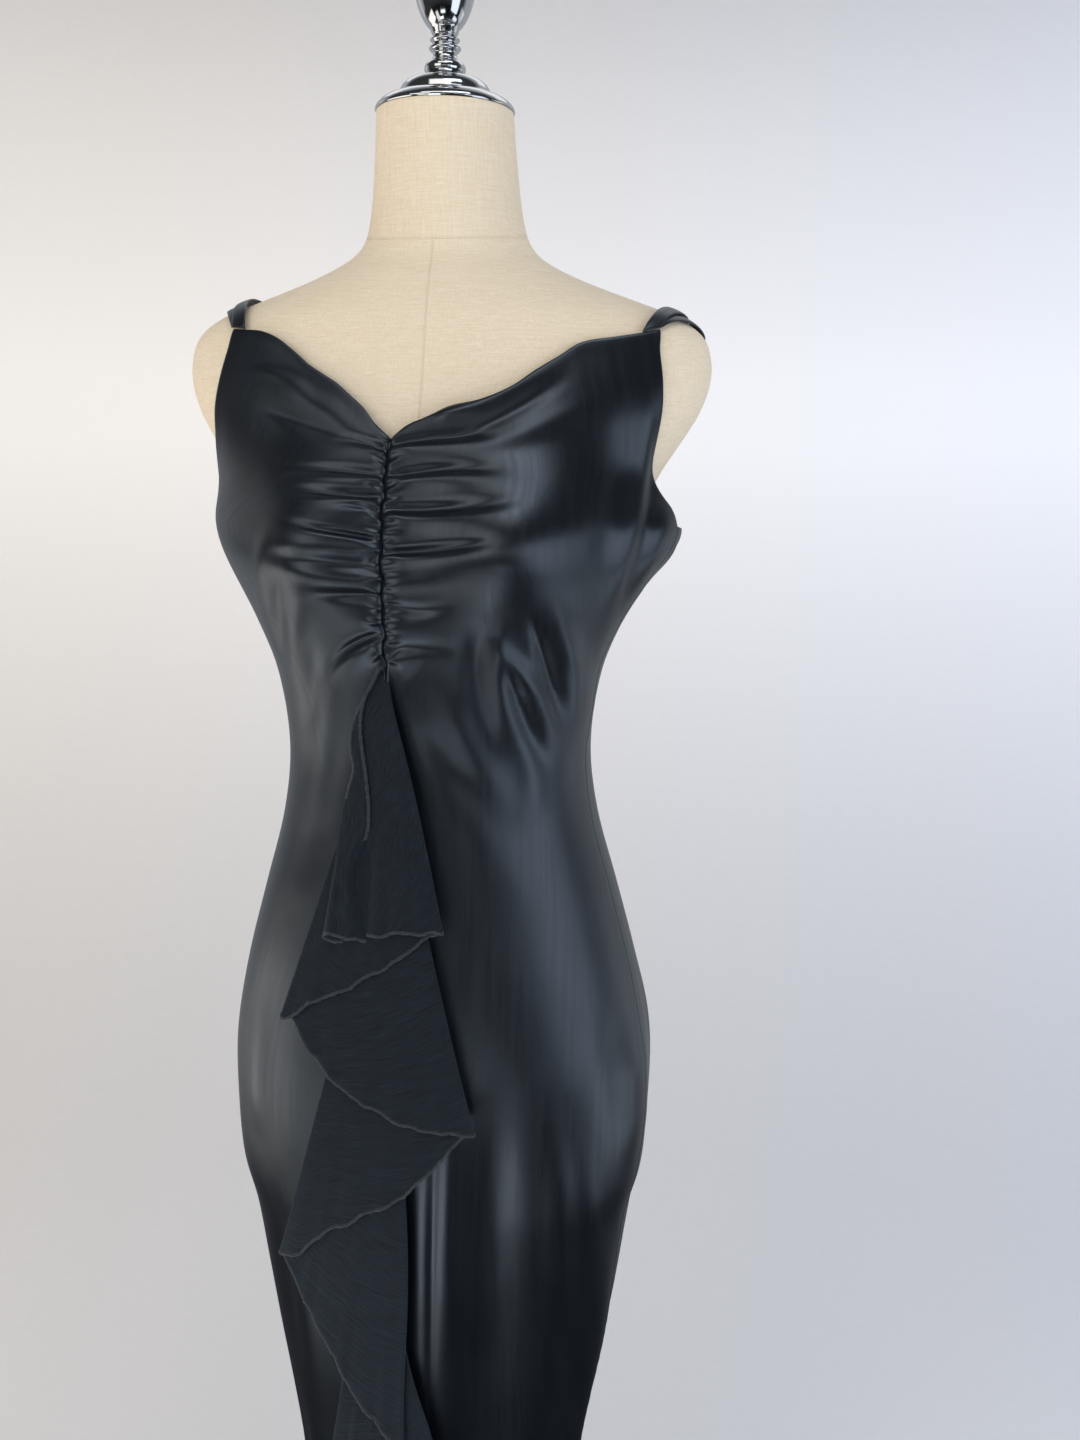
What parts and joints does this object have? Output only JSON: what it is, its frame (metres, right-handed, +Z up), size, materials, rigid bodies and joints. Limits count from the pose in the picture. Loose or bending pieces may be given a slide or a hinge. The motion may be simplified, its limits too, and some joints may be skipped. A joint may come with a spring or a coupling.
{
  "type": "mermaid dress on a dress form",
  "caption": "Black satin mermaid dress with thin straps, ruched centre seam and a chiffon ruffle cascade, standing on a linen dress form with chrome cap, finial, pole and round base.",
  "frame": {"origin": "centre of the base's underside, on the axis of the pole", "axes": "+Z up along the pole; -Y out of the front of the dress; +X towards the side that the viewer of the front sees on the right"},
  "size_m": [0.393, 0.33, 1.6102],
  "materials": {
    "black_satin": "soft satin sheen, black with a navy tint",
    "black_chiffon": "matte crinkled chiffon, black",
    "form_linen": "matte plain-weave linen, cream",
    "chrome": "polished chrome"
  },
  "bodies": {
    "root": {"front_right": "black_satin", "front_left": "black_satin", "back": "black_satin", "strap_right_inner": "black_satin", "strap_right_outer": "black_satin", "strap_left_inner": "black_satin", "strap_left_outer": "black_satin", "ruffle": "black_chiffon", "form_body": "form_linen", "neck_cap": "chrome", "finial": "chrome", "pole": "chrome", "base": "chrome"}
  },
  "joints": []
}
